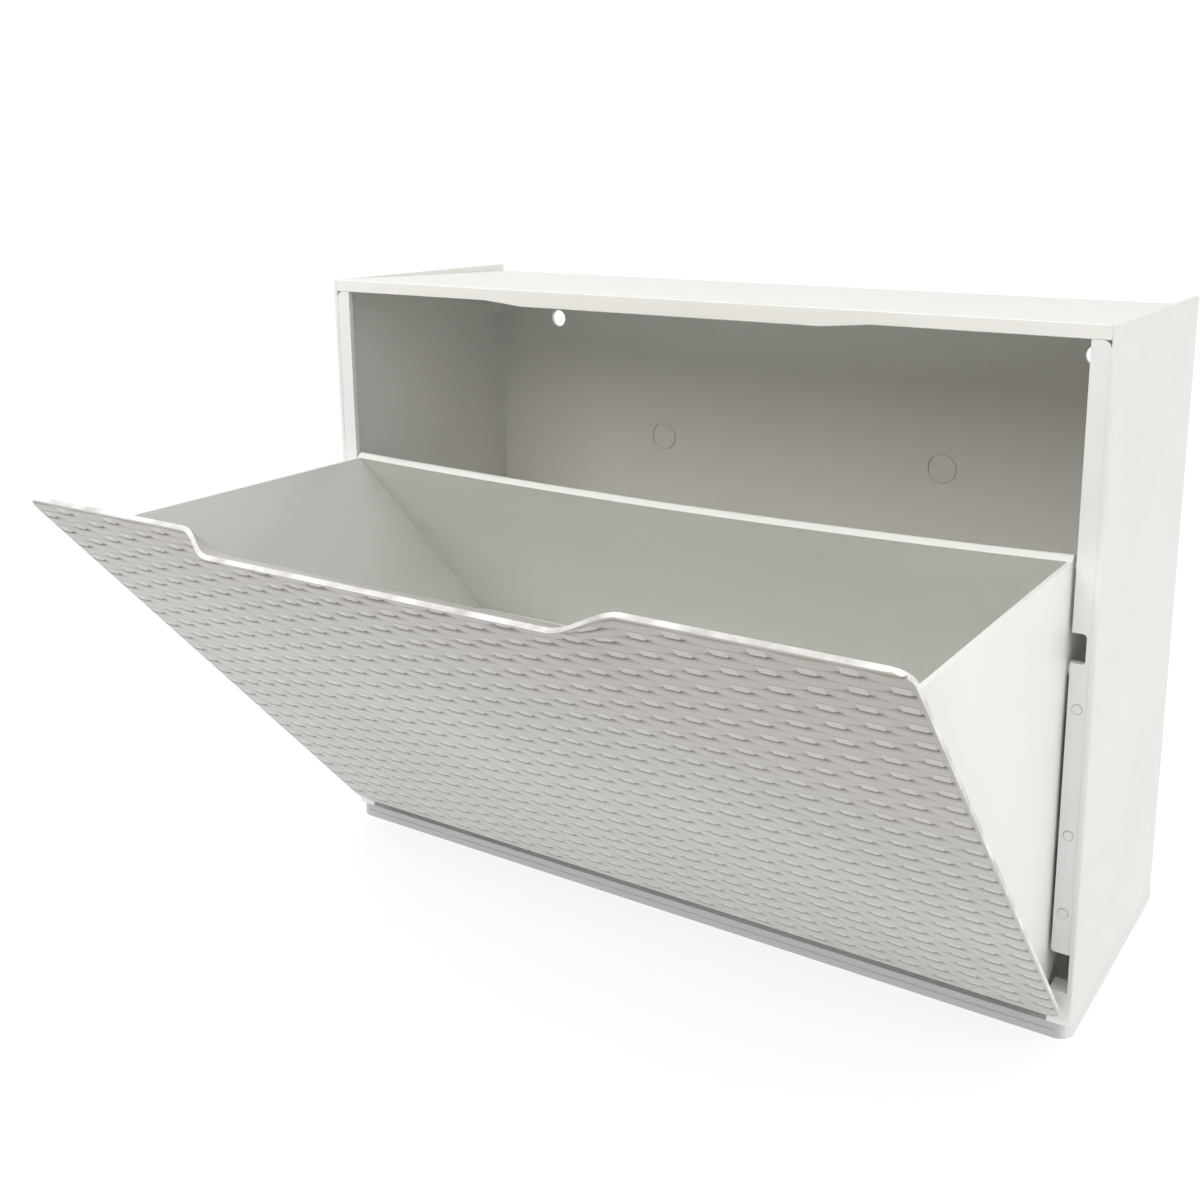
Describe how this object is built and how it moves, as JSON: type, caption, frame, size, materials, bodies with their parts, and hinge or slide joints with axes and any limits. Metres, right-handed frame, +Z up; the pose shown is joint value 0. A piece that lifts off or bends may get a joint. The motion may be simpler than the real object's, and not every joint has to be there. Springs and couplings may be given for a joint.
{
  "type": "tilt-out shoe cabinet",
  "caption": "Stackable plastic shoe cabinet module with a bottom-hinged basket-weave flap, shown tilted open, and a deep tub behind the flap.",
  "frame": {"origin": "centre of the base's underside, midway between the side panels and between front and back of the cabinet", "axes": "+X to the user's right along the width, +Y to the back, +Z up; the flap tilts out towards -Y"},
  "size_m": [0.51, 0.4215, 0.38],
  "materials": {
    "cabinet_shell": "satin, fine moulded grain",
    "base_tray": "satin, a little greyer than the shell",
    "cabinet_trim": "satin, slightly cooler white",
    "fixings": "satin",
    "flap_weave": "satin, embossed basket weave on the outside, smooth inside",
    "tub_plastic": "satin, smooth",
    "pin_plastic": "smooth, slightly polished by wear"
  },
  "bodies": {
    "cabinet": {"left_side_panel": "cabinet_shell", "right_side_panel": "cabinet_shell", "back_panel": "cabinet_shell", "top_panel": "cabinet_shell", "base_panel": "base_tray", "left_stile": "cabinet_trim", "right_stile": "cabinet_trim", "left_hinge_block": "cabinet_trim", "right_hinge_block": "cabinet_trim", "left_stile_pegs": "fixings", "right_stile_pegs": "fixings", "back_panel_pegs": "fixings"},
    "flap": {"flap_front": "flap_weave", "tub_back_wall": "tub_plastic", "tub_floor": "tub_plastic", "tub_left_cheek": "tub_plastic", "tub_right_cheek": "tub_plastic", "left_stop_lug": "tub_plastic", "right_stop_lug": "tub_plastic", "left_pivot_pin": "pin_plastic", "right_pivot_pin": "pin_plastic"}
  },
  "joints": [
    {"name": "flap_tilt", "type": "hinge", "parent": "cabinet", "child": "flap", "pos_m": [0, -0.0815, 0.019], "axis": [1, 0, 0], "range_deg": [-41, 0]}
  ]
}
